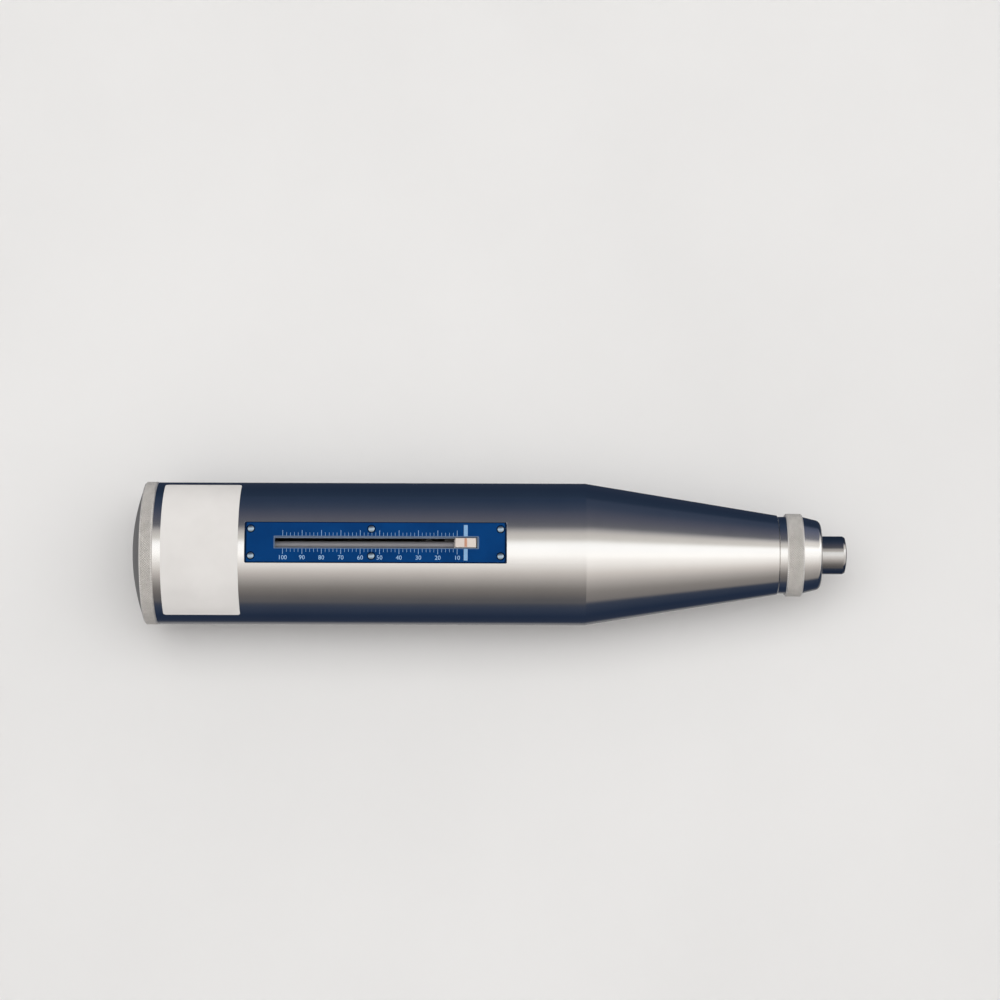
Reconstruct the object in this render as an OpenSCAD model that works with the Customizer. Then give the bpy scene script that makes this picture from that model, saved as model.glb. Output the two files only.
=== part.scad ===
// Rebound hammer for testing concrete, with the mechanism inside it.
// The tool's axis is X, the plunger points to +X and the scale faces +Z.
// The origin is on the axis, in the middle of the nose cap's knurled collar.
// Sizes are in millimetres. The hammer is drawn with its plunger pushed in, as it is stored.

/* [Housing] */
// Outside diameter of the barrel
barrel_d = 56; // [52:0.5:62]
// Wall between the barrel and its bore
wall = 4.5; // [4:0.1:5.5]
// Length of the tapered front, from the shoulder to the front face
cone_len = 76.2; // [70:0.2:84]
// Diameter at the front end of the taper
cone_front_d = 31.4; // [30:0.1:34]

/* [Nose cap] */
// Diameter of the knurled collar
collar_d = 32.7; // [32:0.1:36]
// Width of the knurled collar
collar_w = 6.6; // [5.6:0.1:8]
// Plain skirt between the housing and the collar
skirt_len = 2.8; // [2:0.1:4]
// Length of the rounded nose in front of the collar
nose_len = 7.4; // [6:0.1:9]
// Diameter of the nose where it leaves the collar
nose_back_d = 30.4; // [29:0.1:32]
// Taper of the nose, on each side
nose_slope = 14; // [8:1:20]
// Radius of the nose's rounded front edge
nose_round = 2.2; // [1:0.1:3]

/* [Rear cover] */
// How far the knurled rim stands out past the barrel
rim_step = 0.2; // [0.1:0.05:2]
// Width of the knurled rim
rim_w = 5; // [4:0.1:8]
// Height of the dome behind the rim
dome_h = 5.1; // [3:0.1:8]
// Length of the spigot that screws into the barrel
spigot_len = 8; // [6:0.5:12]

/* [Stroke and scale] */
// Travel of the hammer mass, which is a hundred divisions of the scale
stroke = 75; // [66:1:80]
// Reading at which the rider is drawn
rest_reading = 5.6; // [5:0.1:30]
// Distance from the rider's index line to the tip of its finger
finger_len = 20; // [18:0.5:24]
// Width of the scale plate
plate_w = 16; // [14:0.5:18]
// Thickness of the scale plate
plate_t = 1; // [0.8:0.1:1.2]
// Plate in front of the zero division
plate_front_margin = 11.7; // [10:0.1:16]
// Plate behind the hundredth division
plate_rear_margin = 14.8; // [10:0.1:16]
// Width of the slot in the plate
slot_w = 4.2; // [3.6:0.1:5]
// Length of the rider's index block
block_len = 8.2; // [6:0.1:10]

/* [Plunger and guide bar] */
// Diameter of the impact plunger
plunger_d = 15; // [14:0.1:16]
// Radius of the plunger's rounded tip
tip_radius = 25; // [20:1:40]
// How far the pushed-in plunger stands out of the nose
tip_out = 10.6; // [8:0.1:14]
// Travel of the plunger on the guide bar, against the buffer spring
buffer_travel = 4; // [3:0.5:5]
// Diameter of the guide bar
bar_d = 8; // [7:0.1:8.4]
// Thickness of the guide disk
disk_t = 6; // [5.5:0.1:8]
// Length of the guide sleeve
sleeve_len = 39.3; // [36:0.1:42]

/* [Hammer mass] */
// Length of the mass, from its hook collar to its striking face
mass_len = 58; // [54:0.5:62]
// Radial room between the mass and the bore, where the rider runs
rider_room = 4.9; // [4.6:0.1:6]

/* [Springs] */
// Gap between the sleeve and the mass, with the impact spring relaxed
impact_gap = 52.5; // [48:0.5:58]
// Wire of the impact spring
impact_wire = 1.8; // [1.4:0.1:2]
// Turns of the impact spring
impact_turns = 14; // [10:1:16]
// Room for the compressed spring behind the guide disk
spring_room = 24.7; // [22:0.1:30]
// Wire of the compression spring
return_wire = 1.8; // [1.4:0.1:2]
// Turns of the compression spring
return_turns = 8; // [6:1:9]

/* [Lock button] */
// Angle of the button round the axis, away from the scale
button_angle = 140; // [120:1:150]
// Travel of the button
button_travel = 3; // [2.5:0.1:3.4]
// Diameter of the button's head
button_d = 9; // [8:0.1:10]

/* [Label] */
// Bare barrel between the label and the scale plate
label_front_gap = 2.6; // [1:0.1:6]
// Bare barrel between the label and the rear cover
label_rear_gap = 3.3; // [1:0.1:6]
// Arc of the barrel that the label covers
label_arc = 131.4; // [100:0.2:160]
// Turn of the label's middle from the scale's, towards -Y
label_turn = 2.3; // [-5:0.1:5]

/* [Hidden] */
$fn = 96;

// Clearances that the pieces share
slide_gap = 0.05;      // sliding fit, on the radius
thread_gap = 0.1;      // screwed fit, on the radius
run_gap = 0.3;         // between pieces that move past each other
side_gap = 0.2;        // beside a flat piece that moves in a slot
seat_gap = 0.02;       // pressed or glued fit, on the radius
end_gap = 0.1;         // between a spring and its seat
eps = 0.01;            // overrun of a cut past a face
edge = 0.5;            // chamfer on turned edges

// Radii
barrel_r = barrel_d / 2;
bore_r = barrel_r - wall;
cone_front_r = cone_front_d / 2;
collar_r = collar_d / 2;
rim_r = barrel_r + rim_step;
plunger_r = plunger_d / 2;
bar_r = bar_d / 2;

// Front of the housing, the sleeve in it and the cap over it
x_front = -collar_w / 2 - skirt_len;
x_shoulder = x_front - cone_len;
cap_room = 2.4;        // collar in front of the housing's neck
x_neck = collar_w / 2 - cap_room;
split_t = 2.5;
x_split = x_neck + split_t;
sleeve_wall = 2.5;
sleeve_r = plunger_r + sleeve_wall;
sleeve_lip = 1;        // sleeve in front of the split ring
x_sleeve_front = x_split + sleeve_lip;
x_sleeve_rear = x_sleeve_front - sleeve_len;
seat_len = 9;          // boss at the back of the sleeve, which the spring grips
seat_step = 0.4;
seat_r = sleeve_r + seat_step;
x_seat = x_sleeve_rear + seat_len;
neck_wall = 3.5;
neck_r = sleeve_r + neck_wall;
split_step = 0.6;
split_r = neck_r - split_step;
split_groove = 1.1;    // depth of the sleeve's groove for the split ring
felt_t = 3;
felt_r = sleeve_r;
x_felt = x_sleeve_front + side_gap;
x_cap_front = collar_w / 2 + nose_len;
skirt_step = 0.55;     // skirt inside the housing's front edge
skirt_r = cone_front_r - skirt_step;

// Hammer mass at the front of its stroke, and what lines up with it
x_strike = x_sleeve_rear - impact_gap;
mass_boss_len = 8;
mass_flange_len = 9.5;
hook_collar_t = 3;
hook_neck_len = 5;
hook_neck_wall = 2.2;
hook_step = 2.8;
mass_step = 0.4;       // flange past the body of the mass
mass_gap = 0.1;        // mass on the guide bar
mass_flange_r = bore_r - rider_room;
mass_body_r = mass_flange_r - mass_step;
hook_neck_r = bar_r + hook_neck_wall;
hook_collar_r = hook_neck_r + hook_step;
x_flange = x_strike - mass_boss_len - mass_flange_len;
x_mass_rear = x_strike - mass_len;
impact_r = seat_r + run_gap + impact_wire / 2;
cavity_gap = 0.7;
cavity_r = impact_r + impact_wire / 2 + cavity_gap;
taper_step = 4.4;      // bore's taper in front of the shoulder
x_taper = x_shoulder + taper_step;

// Guide disk, and the cover behind it
hook_gap = 1;
x_disk = x_mass_rear - stroke - hook_gap;
x_disk_rear = x_disk - disk_t;
x_cover_in = x_disk_rear - spring_room;
cover_recess = 1.5;
x_rear = x_cover_in + cover_recess;
x_rim = x_rear - rim_w;
disk_gap = 0.15;
disk_r = bore_r - disk_gap;
flat_cut = 1.1;        // flat on the disk that passes the lock bolt
disk_flat = bore_r - flat_cut;
return_r = 15.5;       // mean radius of the compression spring
spigot_gap = 0.8;
spigot_in = return_r + return_wire / 2 + spigot_gap;

// Plunger, bar and buffer spring
strike_gap = 0.5;
x_plunger_rear = x_strike + buffer_travel + strike_gap;
x_tip = x_cap_front + tip_out;
tip_sag = tip_radius - sqrt(tip_radius * tip_radius - pow(plunger_r - edge, 2));
bar_in_plunger = 42;
buffer_rest = 8;       // buffer spring when it is pressed home
buffer_len = buffer_travel + buffer_rest;
x_bar_front = x_plunger_rear + bar_in_plunger;
x_plunger_bore = x_bar_front + buffer_len;
buffer_wire = 0.8;
buffer_turns = 6;

// Rider, its rod and the scale plate
x_zero = x_flange - finger_len;
x_index = x_zero - rest_reading / 100 * stroke;
rider_floor = mass_flange_r + run_gap;
roof_gap = 0.6;
rider_roof = bore_r - roof_gap;
rod_r = 1.5;
rod_z = (rider_floor + rider_roof) / 2;
rider_w = 7;
carrier_len = 9;
block_w = slot_w - 2 * side_gap;
block_sink = 0.15;     // block below the face of the plate
finger_t = 1.2;
flat_z = sqrt(barrel_r * barrel_r - plate_w * plate_w / 4);
plate_top = flat_z + plate_t;
x_plate_front = x_zero + plate_front_margin;
x_plate_rear = x_zero - stroke - plate_rear_margin;
slot_end_gap = 0.35;
slot_rear_margin = 3.1;
x_slot_front = x_index + block_len / 2 + slot_end_gap;
x_slot_rear = x_zero - stroke - slot_rear_margin;
rivet_r = 1.2;
rivet_head = 0.45;
rivet_shank_r = 0.6;
rivet_depth = 2.2;
rivet_edge = 2.7;      // rivets in from the long edges of the plate
rivet_inset = 2.4;     // rivets in from the ends of the plate
mid_rivet_reading = 54.3;  // at the middle pair of rivets
rivet_y = plate_w / 2 - rivet_edge;
x_rivets = [x_plate_front - rivet_inset, x_zero - mid_rivet_reading / 100 * stroke,
            x_plate_rear + rivet_inset];
groove_depth = 3;      // groove in the spigot for the rod's end
rod_grip = 2;          // rod past the place where the taper closes on it
x_rod_rear = x_rear + spigot_len - groove_depth + side_gap;
x_rod_front = taper_x(rod_z - rod_r) + rod_grip;

// Pawl, drawn in the plane of X and the distance below the axis
pawl_t = 5;
pawl_pin_r = 1.5;
pin_grip = 4.5;        // pin in the disk, on each side of the pawl
pivot_step = 3;        // pivot below the mass's hook collar
pawl_hub = 3;          // pawl above its pivot
pawl_back = 1.9;       // pawl below its pivot
pawl_bevel = 1;
pawl_swing = 1.7;      // room in the disk for the pawl to turn
x_pivot = x_disk - disk_t / 2;
pivot_drop = hook_collar_r + pivot_step;
hook_clear = 0.6;
hook_nose = 3;
hook_bite = 1.8;
tail_t = 4;
tail_gap = 4.5;        // between the disk and the tail
tail_reach = 2;        // tail past the axis
tail_waist = 1.6;
x_tail = x_disk_rear - tail_gap;
pawl_coil_r = 1.2;
pawl_wire = 0.4;
pawl_turns = 4;
x_trip = x_tail - tail_t - run_gap;
trip_r = 3;
trip_slot = 1;
nut_t = 4;
nut_flats = 10;

// Lock button, along its own radius
lock_gap = 1.5;
bolt_r = 2.5;
x_button = x_disk + lock_gap + bolt_r;
spot_depth = 1;
spot_r = barrel_r - spot_depth;
bush_wall = 1;
bush_r = button_d / 2 + bush_wall;
bush_lip = 1.5;
bush_flange_r = bush_r + bush_lip;
clip_room = 1;         // bush inside the wall, with the clip below it
bush_in = bore_r + clip_room;
bush_web = 1.2;
bush_floor = bush_in + bush_web;
head_rim = bush_floor + run_gap + button_travel;
head_sink = 0.6;       // head inside the bush when it is up
bush_top = head_rim + head_sink;
head_h = 4;
head_wall = 0.8;
head_pocket = 2.6;
bolt_gap = 0.4;        // bolt clear of the disk when the button is up
bolt_tip = disk_flat + bolt_gap;
clip_t = 0.6;
clip_grip = 0.4;
clip_reach = 1.1;
clip_mouth = 1.6;
clip_r = bolt_r + clip_reach;
clip_z = bush_in - side_gap - clip_t;
button_wire = 0.6;
button_turns = 4;

// Label
label_t = 0.12;
x_label_rear = x_rear + label_rear_gap;
label_w = x_plate_rear - label_front_gap - x_label_rear;

// Place along the bore's taper where its radius is r
function taper_x(r) = x_taper + (bore_r - r) / (bore_r - cavity_r) * (x_seat - x_taper);

// Turns what is drawn round Z so that it lies along X
module on_axis() rotate([0, 90, 0]) children();

// A solid of revolution on the tool's axis, from points of [place along X, radius]
module turned(points) on_axis() rotate_extrude() polygon([for (p = points) [p[1], p[0]]]);

// The part of a ball round Z between two heights
module ball_zone(z0, z1, ball_z, ball_r) rotate_extrude() intersection() {
    translate([0, ball_z]) circle(r = ball_r);
    translate([0, z0]) square([ball_r, z1 - z0]);
}

// A round bar along X
module bar(x0, x1, r) translate([x0, 0, 0]) on_axis() cylinder(h = x1 - x0, r = r);

// Turns what is drawn along Z to an angle round the axis, away from the scale
module at_angle(a) rotate([-a, 0, 0]) children();

// A cut of the housing that follows the button's radius
module button_radius() at_angle(button_angle) translate([x_button, 0, 0]) children();

// Rings of a coil of round wire along Z: each has a centre at an angle and a height
function coil_ring(r, wire, turn, z, sides) = [
    for (k = [0:sides - 1])
        let (a = 360 * k / sides, reach = r + wire / 2 * cos(a))
        [reach * cos(turn), reach * sin(turn), z + wire / 2 * sin(a)]];

// A coil spring along Z, from z = 0 to z = len, as one unbroken tube
module coil(r, wire, len, turns, steps = 16, sides = 6) {
    rings = turns * steps;
    rise = (len - wire) / rings;
    points = [for (i = [0:rings]) each coil_ring(r, wire, 360 * i / steps, wire / 2 + i * rise, sides)];
    walls = [for (i = [0:rings - 1], k = [0:sides - 1])
        let (a = i * sides + k, b = i * sides + (k + 1) % sides)
        each [[a, a + sides, b], [b, a + sides, b + sides]]];
    first = [for (k = [1:sides - 2]) [0, k, k + 1]];
    last = [for (k = [1:sides - 2]) [rings * sides, rings * sides + k + 1, rings * sides + k]];
    echo(coil_gap = rise * steps - wire);
    polyhedron(points, concat(walls, first, last));
}

// Barrel and taper turned from one bar, with the flat and slot for the scale
module housing() color("silver") difference() {
    turned([[x_rear, bore_r], [x_rear, barrel_r], [x_shoulder, barrel_r],
            [x_front - edge, cone_front_r], [x_front, cone_front_r - edge], [x_front, neck_r],
            [x_neck, neck_r], [x_neck, sleeve_r + slide_gap], [x_seat, sleeve_r + slide_gap],
            [x_seat, cavity_r], [x_taper, bore_r]]);
    translate([x_plate_rear - run_gap, -barrel_r, flat_z])
        cube([x_plate_front - x_plate_rear + 2 * run_gap, barrel_d, barrel_r]);
    rider_slot(slot_w + 2 * side_gap, run_gap, 0, barrel_r);
    rivet_holes(rivet_shank_r + seat_gap, flat_z - rivet_depth - run_gap, barrel_r);
    translate([0, 0, rod_z]) bar(x_taper, x_rod_front + run_gap, rod_r + slide_gap);
    button_radius() {
        cylinder(h = barrel_d, r = bush_r + thread_gap);
        translate([0, 0, spot_r]) cylinder(h = barrel_d, r = bush_flange_r + side_gap);
    }
}

// The straight slot that the rider's block runs in
module rider_slot(width, spare, z0, z1)
    translate([x_slot_rear - spare, -width / 2, z0])
        cube([x_slot_front - x_slot_rear + 2 * spare, width, z1 - z0]);

// Holes for the six rivets
module rivet_holes(r, z0, z1)
    for (x = x_rivets, side = [-1, 1])
        translate([x, side * rivet_y, z0]) cylinder(h = z1 - z0, r = r, $fn = 32);

// Screwed cover with a knurled rim and a shallow dome
module rear_cover() color("silver") difference() {
    union() {
        turned([[x_rim, 0], [x_rim, rim_r - edge], [x_rim + edge, rim_r], [x_rear - edge, rim_r],
                [x_rear, rim_r - edge], [x_rear, 0]]);
        dome_r = rim_r - 2 * edge;
        ball_r = (dome_r * dome_r + dome_h * dome_h) / (2 * dome_h);
        on_axis() ball_zone(x_rim - dome_h, x_rim, x_rim - dome_h + ball_r, ball_r);
        bar(x_rear - edge, x_rear + spigot_len, bore_r - thread_gap);
    }
    bar(x_cover_in, x_rear + spigot_len + eps, spigot_in);
    turned([[x_rear + spigot_len - groove_depth, rod_z - rod_r - side_gap],
            [x_rear + spigot_len - groove_depth, rod_z + rod_r + side_gap],
            [x_rear + spigot_len + eps, rod_z + rod_r + side_gap],
            [x_rear + spigot_len + eps, rod_z - rod_r - side_gap]]);
    bar(x_rim - run_gap, x_cover_in + eps, trip_r + seat_gap);
}

// Set screw that trips the pawl at the end of the stroke
module trip_screw() color("dimgray") difference() {
    turned([[x_rim, 0], [x_rim, trip_r], [x_trip - edge, trip_r], [x_trip, trip_r - edge], [x_trip, 0]]);
    translate([x_trip - trip_slot, -trip_slot / 2, -trip_r]) cube([trip_slot + eps, trip_slot, 2 * trip_r]);
}

// Nut that holds the trip screw's setting
module trip_lock_nut() color("dimgray") difference() {
    translate([x_cover_in, 0, 0]) on_axis() cylinder(h = nut_t, d = nut_flats / cos(30), $fn = 6);
    bar(x_cover_in - eps, x_cover_in + nut_t + eps, trip_r + seat_gap);
}

// Screwed cap with a knurled collar and a rounded nose
module nose_cap() color("silver") {
    cavity_front = x_split + side_gap;
    steps = 4;
    round_x = x_cap_front - nose_round;
    round_r = nose_back_d / 2 - (round_x - collar_w / 2) * tan(nose_slope) - nose_round / cos(nose_slope);
    rounding = [for (k = [0:steps])
        let (a = nose_slope + (90 - nose_slope) * k / steps)
        [round_x + nose_round * sin(a), round_r + nose_round * cos(a)]];
    difference() {
        turned(concat([[x_front, 0], [x_front, skirt_r], [-collar_w / 2, skirt_r],
                       [-collar_w / 2, collar_r - edge], [-collar_w / 2 + edge, collar_r],
                       [collar_w / 2 - edge, collar_r], [collar_w / 2, collar_r - edge],
                       [collar_w / 2, nose_back_d / 2]], rounding, [[x_cap_front, 0]]));
        bar(x_front - eps, x_neck + eps, neck_r + thread_gap);
        bar(x_neck, cavity_front, split_r + side_gap);
        bar(x_neck, x_felt + felt_t, felt_r + thread_gap);
        bar(x_neck, x_cap_front + eps, plunger_r + run_gap);
    }
}

// Two half rings that hold the sleeve in the housing
module split_ring() color("goldenrod") difference() {
    bar(x_neck, x_split, split_r);
    bar(x_neck - eps, x_split + eps, sleeve_r - split_groove + thread_gap);
    translate([x_neck - eps, -split_r, -side_gap]) cube([split_t + 2 * eps, 2 * split_r, 2 * side_gap]);
}

// Bush that guides the plunger and anchors the impact spring
module guide_sleeve() color("goldenrod")
    turned([[x_sleeve_rear, plunger_r + slide_gap], [x_sleeve_rear, seat_r], [x_seat, seat_r],
            [x_seat, sleeve_r], [x_neck - slide_gap, sleeve_r],
            [x_neck - slide_gap, sleeve_r - split_groove], [x_split + slide_gap, sleeve_r - split_groove],
            [x_split + slide_gap, sleeve_r], [x_sleeve_front, sleeve_r],
            [x_sleeve_front, plunger_r + slide_gap]]);

// Wiper that keeps dust off the plunger
module felt_washer() color("gainsboro") difference() {
    bar(x_felt, x_felt + felt_t, felt_r);
    bar(x_felt - eps, x_felt + felt_t + eps, plunger_r + slide_gap);
}

// Flat blue plate with the rebound scale
module scale_plate() color("royalblue") difference() {
    translate([x_plate_rear, -plate_w / 2, flat_z])
        cube([x_plate_front - x_plate_rear, plate_w, plate_t]);
    rider_slot(slot_w, 0, flat_z - eps, plate_top + eps);
    rivet_holes(rivet_shank_r + seat_gap, flat_z - eps, plate_top + eps);
}

// Six drive rivets with low round heads
module plate_rivets() color("silver") {
    ball_r = (rivet_r * rivet_r + rivet_head * rivet_head) / (2 * rivet_head);
    top = plate_top + rivet_head;
    for (x = x_rivets, side = [-1, 1])
        translate([x, side * rivet_y, 0]) {
            translate([0, 0, flat_z - rivet_depth])
                cylinder(h = rivet_depth + plate_t, r = rivet_shank_r, $fn = 32);
            ball_zone(plate_top, top, top - ball_r, ball_r);
        }
}

// Rod that the rider slides on, held between the housing and the rear cover
module rider_rod() color("silver") translate([0, 0, rod_z]) bar(x_rod_rear, x_rod_front, rod_r);

// Blank paper label round the back of the barrel
module label() color("white") translate([x_label_rear, 0, 0]) on_axis()
    rotate([0, 0, 180 + label_turn - label_arc / 2]) rotate_extrude(angle = label_arc)
        translate([barrel_r + seat_gap, 0]) square([label_t, label_w]);

// Screwed bush that carries the lock button
module button_bush() color("dimgray") button_radius() difference() {
    union() {
        translate([0, 0, bush_in]) cylinder(h = spot_r - bush_in, r = bush_r);
        translate([0, 0, spot_r]) cylinder(h = bush_top - spot_r - edge, r = bush_flange_r);
        translate([0, 0, bush_top - edge])
            cylinder(h = edge, r1 = bush_flange_r, r2 = bush_flange_r - edge);
    }
    cylinder(h = barrel_d, r = bolt_r + slide_gap);
    translate([0, 0, bush_floor]) cylinder(h = barrel_d, r = button_d / 2 + thread_gap);
}

// Spring that pushes the plunger out
module compression_spring() color("gray") translate([x_cover_in + end_gap, 0, 0]) on_axis()
    coil(return_r, return_wire, spring_room - 2 * end_gap, return_turns);

// Tension spring that drives the hammer mass
module impact_spring() color("gray") {
    x0 = x_strike - mass_boss_len + run_gap;
    x1 = x_seat - run_gap;
    translate([x0, 0, 0]) on_axis() coil(impact_r, impact_wire, x1 - x0, impact_turns);
}

// Bar that carries the hammer mass and pushes the plunger
module guide_bar() color("silver")
    turned([[x_disk_rear, 0], [x_disk_rear, bar_r], [x_bar_front - edge, bar_r],
            [x_bar_front, bar_r - edge], [x_bar_front, 0]]);

// Disk that guides the bar in the bore and carries the pawl
module guide_disk() color("darkgray") difference() {
    bar(x_disk_rear, x_disk, disk_r);
    bar(x_disk_rear - eps, x_disk + eps, bar_r + seat_gap);
    translate([x_disk_rear - eps, -rider_w / 2 - run_gap, rider_floor - run_gap])
        cube([disk_t + 2 * eps, rider_w + 2 * run_gap, bore_r]);
    at_angle(button_angle) translate([x_disk_rear - eps, -bore_r, disk_flat])
        cube([disk_t + 2 * eps, 2 * bore_r, bore_r]);
    translate([x_disk_rear - eps, -pawl_t / 2 - side_gap, -pivot_drop - pawl_back - pawl_swing])
        cube([disk_t + 2 * eps, pawl_t + 2 * side_gap, pawl_back + pawl_hub + 2 * pawl_swing]);
    pawl_axis(bore_r, pawl_pin_r + seat_gap);
}

// A round bar along the pawl's pivot
module pawl_axis(half, r)
    translate([x_pivot, half, -pivot_drop]) rotate([90, 0, 0]) cylinder(h = 2 * half, r = r, $fn = 48);

// Pin that the pawl turns on
module pawl_pin() color("silver") pawl_axis(pawl_t / 2 + pin_grip, pawl_pin_r);

// Small spring that turns the pawl into its hook
module pawl_spring() color("gray") translate([x_tail + end_gap, 0, -pivot_drop / 2]) on_axis()
    coil(pawl_coil_r, pawl_wire, tail_gap - 2 * end_gap, pawl_turns, 12);

// Hooked lever that draws the hammer mass back
module pawl() color("dimgray") {
    inner = hook_collar_r + hook_clear;
    outer = pivot_drop + pawl_back;
    tip = hook_collar_r - hook_bite;
    x_bite = x_disk + hook_gap + hook_collar_t + run_gap;
    x_end = x_bite + hook_nose;
    x_back = x_tail - tail_t;
    outline = [[x_back, -tail_reach], [x_tail, -tail_reach], [x_tail, pivot_drop - tail_waist],
               [x_disk_rear, pivot_drop - pawl_hub], [x_disk, inner], [x_bite, inner], [x_bite, tip],
               [x_end, tip + pawl_bevel], [x_end, outer - pawl_bevel], [x_end - pawl_bevel, outer],
               [x_back + pawl_bevel, outer], [x_back, outer - pawl_bevel]];
    difference() {
        translate([0, pawl_t / 2, 0]) rotate([90, 0, 0]) linear_extrude(pawl_t)
            polygon([for (p = outline) [p[0], -p[1]]]);
        pawl_axis(bore_r, pawl_pin_r + slide_gap);
    }
}

// Hardened plunger with a rounded tip, bored for the guide bar
module impact_plunger() color("silver") difference() {
    union() {
        turned([[x_plunger_rear, 0], [x_plunger_rear, plunger_r - edge],
                [x_plunger_rear + edge, plunger_r], [x_tip - tip_sag - edge, plunger_r],
                [x_tip - tip_sag, plunger_r - edge], [x_tip - tip_sag, 0]]);
        on_axis() ball_zone(x_tip - tip_sag, x_tip, x_tip - tip_radius, tip_radius);
    }
    bar(x_plunger_rear - eps, x_plunger_bore, bar_r + slide_gap);
}

// Short spring between the guide bar and the plunger
module buffer_spring() color("gray") translate([x_bar_front + end_gap, 0, 0]) on_axis()
    coil(bar_r - run_gap - buffer_wire / 2, buffer_wire, buffer_len - 2 * end_gap, buffer_turns, 12);

// Steel mass that strikes the plunger and rebounds
module hammer_mass() color("slategray")
    turned([[x_mass_rear, bar_r + mass_gap], [x_mass_rear, hook_collar_r - edge],
            [x_mass_rear + edge, hook_collar_r], [x_mass_rear + hook_collar_t, hook_collar_r],
            [x_mass_rear + hook_collar_t, hook_neck_r],
            [x_mass_rear + hook_collar_t + hook_neck_len, hook_neck_r],
            [x_mass_rear + hook_collar_t + hook_neck_len, mass_body_r], [x_flange, mass_body_r],
            [x_flange, mass_flange_r], [x_strike - mass_boss_len, mass_flange_r],
            [x_strike - mass_boss_len, seat_r], [x_strike, seat_r], [x_strike, bar_r + mass_gap]]);

// White rider: a carrier on the rod, with the index block that shows in the slot
module rider() color("white") difference() {
    union() {
        translate([x_index - carrier_len / 2, -rider_w / 2, rider_floor])
            cube([carrier_len, rider_w, rider_roof - rider_floor]);
        translate([x_index - block_len / 2, -block_w / 2, rod_z])
            cube([block_len, block_w, plate_top - block_sink - rod_z]);
    }
    translate([0, 0, rod_z]) bar(x_index - carrier_len, x_index + carrier_len, rod_r + slide_gap);
}

// Finger on the rider, which the hammer mass pushes as it rebounds
module rider_finger() color("silver") {
    x0 = x_index + carrier_len / 2;
    x1 = x_index + finger_len;
    low = rod_z - finger_t / 2;
    top = rod_z + finger_t / 2;
    translate([0, rider_w / 2, 0]) rotate([90, 0, 0]) linear_extrude(rider_w / 2 - rod_r - run_gap)
        polygon([[x0, low], [x1 - finger_t, low], [x1 - finger_t, rider_floor], [x1, rider_floor],
                 [x1, top], [x0, top]]);
}

// Button head and lock bolt in one piece
module button() color("black") button_radius() {
    difference() {
        union() {
            translate([0, 0, head_rim]) cylinder(h = head_h - edge, r = button_d / 2);
            translate([0, 0, head_rim + head_h - edge])
                cylinder(h = edge, r1 = button_d / 2, r2 = button_d / 2 - edge);
        }
        translate([0, 0, head_rim - eps]) cylinder(h = head_pocket, r = button_d / 2 - head_wall);
    }
    difference() {
        translate([0, 0, bolt_tip]) cylinder(h = head_rim + head_pocket - bolt_tip + side_gap, r = bolt_r);
        translate([0, 0, clip_z]) clip_ring(bolt_r - clip_grip, clip_r);
    }
}

// A flat ring of the clip's thickness
module clip_ring(inner, outer) difference() {
    cylinder(h = clip_t, r = outer);
    translate([0, 0, -eps]) cylinder(h = clip_t + 2 * eps, r = inner);
}

// Spring clip that keeps the button in its bush
module button_clip() color("silver") button_radius() difference() {
    translate([0, 0, clip_z]) clip_ring(bolt_r - clip_grip, clip_r);
    translate([0, -clip_mouth / 2, clip_z - eps]) cube([clip_r + eps, clip_mouth, clip_t + 2 * eps]);
}

// Spring that lifts the button
module button_spring() color("gray") button_radius() translate([0, 0, bush_floor + end_gap])
    coil(bolt_r + side_gap + button_wire / 2, button_wire,
         head_rim + head_pocket - bush_floor - 2 * end_gap, button_turns, 12);

housing();
rear_cover();
trip_screw();
trip_lock_nut();
nose_cap();
split_ring();
guide_sleeve();
felt_washer();
scale_plate();
plate_rivets();
rider_rod();
label();
button_bush();
compression_spring();
impact_spring();
guide_bar();
guide_disk();
pawl_pin();
pawl_spring();
pawl();
impact_plunger();
buffer_spring();
hammer_mass();
rider();
rider_finger();
button();
button_clip();
button_spring();
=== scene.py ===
"""Concrete test hammer: the looks of a spring rebound hammer, built round its CAD model, in metres."""
import math

import bmesh
import bpy
from mathutils import Matrix, Vector


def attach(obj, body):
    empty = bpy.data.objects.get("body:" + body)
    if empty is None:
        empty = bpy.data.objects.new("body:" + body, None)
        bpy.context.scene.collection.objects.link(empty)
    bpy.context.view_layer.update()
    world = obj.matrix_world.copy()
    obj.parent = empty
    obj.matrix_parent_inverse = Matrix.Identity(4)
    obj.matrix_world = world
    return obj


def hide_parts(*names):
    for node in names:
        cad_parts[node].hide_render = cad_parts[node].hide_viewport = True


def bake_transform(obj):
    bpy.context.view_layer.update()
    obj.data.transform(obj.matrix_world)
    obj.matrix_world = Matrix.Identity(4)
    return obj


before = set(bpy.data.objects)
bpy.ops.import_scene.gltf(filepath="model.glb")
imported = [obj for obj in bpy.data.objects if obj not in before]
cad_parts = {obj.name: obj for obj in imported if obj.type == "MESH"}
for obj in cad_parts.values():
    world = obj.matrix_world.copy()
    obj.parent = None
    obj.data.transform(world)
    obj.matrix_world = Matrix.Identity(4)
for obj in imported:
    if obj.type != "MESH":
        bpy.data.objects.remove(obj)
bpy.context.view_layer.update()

# Barrel housing
# The barrel and its tapered front are one shell, turned from aluminium bar and left satin. A flat
# is milled on top for the scale plate, a slot goes through it for the rider, and a spot face on the
# underside takes the button's bush. The slot's walls are pale blue-grey and matt: painted light and
# painted blue reflection in place of the bare metal's own shine.

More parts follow.
